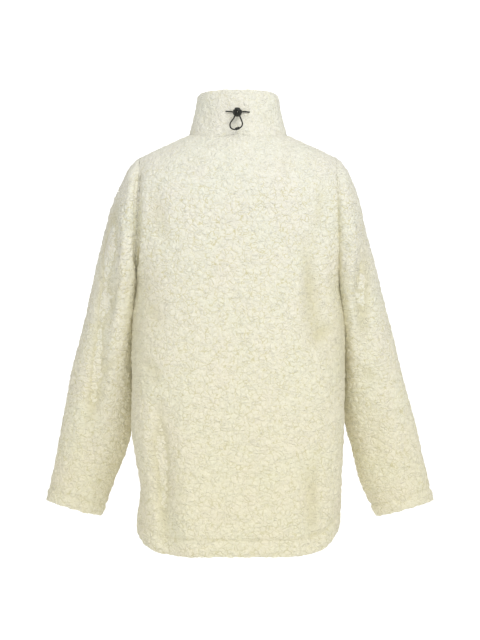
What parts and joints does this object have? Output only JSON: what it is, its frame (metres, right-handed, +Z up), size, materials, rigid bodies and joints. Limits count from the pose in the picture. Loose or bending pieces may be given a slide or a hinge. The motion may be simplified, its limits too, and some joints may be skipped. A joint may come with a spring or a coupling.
{
  "type": "fleece zip-up jacket",
  "caption": "Hip-length cream fleece jacket with a stand collar, full-length front zip, curved hem and a neck drawcord with a ball cord lock, hollow as if worn.",
  "frame": {"origin": "inside the neck, level with the collar seam at the shoulders, on the body's centre line", "axes": "+Z up along the body, -Y the way the wearer faces, so the zip is at -Y and the back panel at +Y, and +X to the wearer's left"},
  "size_m": [0.7094, 0.2741, 0.8192],
  "materials": {
    "fleece": "matte",
    "zip_tape": "matte",
    "zip_teeth": "satin",
    "zip_metal": "satin",
    "cord": "matte",
    "lock_plastic": "satin"
  },
  "bodies": {
    "jacket": {"back": "fleece", "front_left": "fleece", "front_right": "fleece", "sleeve_left": "fleece", "sleeve_right": "fleece", "collar": "fleece", "zip_tape_left": "zip_tape", "zip_tape_right": "zip_tape", "zip_chain": "zip_teeth", "zip_box": "zip_teeth", "zip_slider": "zip_metal", "drawcord_left": "cord", "drawcord_right": "cord", "cord_lock_barrel": "lock_plastic", "cord_end": "lock_plastic"},
    "pull": {"zip_pull": "zip_metal"},
    "plunger": {"cord_lock_plunger": "lock_plastic"}
  },
  "joints": [
    {"name": "pull_swing", "type": "hinge", "parent": "jacket", "child": "pull", "pos_m": [0, -0.08021, 0.02172], "axis": [-1, 0, 0], "range_deg": [0, 170]},
    {"name": "plunger_press", "type": "slide", "parent": "jacket", "child": "plunger", "axis": [0, 0, 1], "range_m": [-0.0025, 0], "stiffness_N_per_m": 400, "springref_m": 0.002}
  ]
}
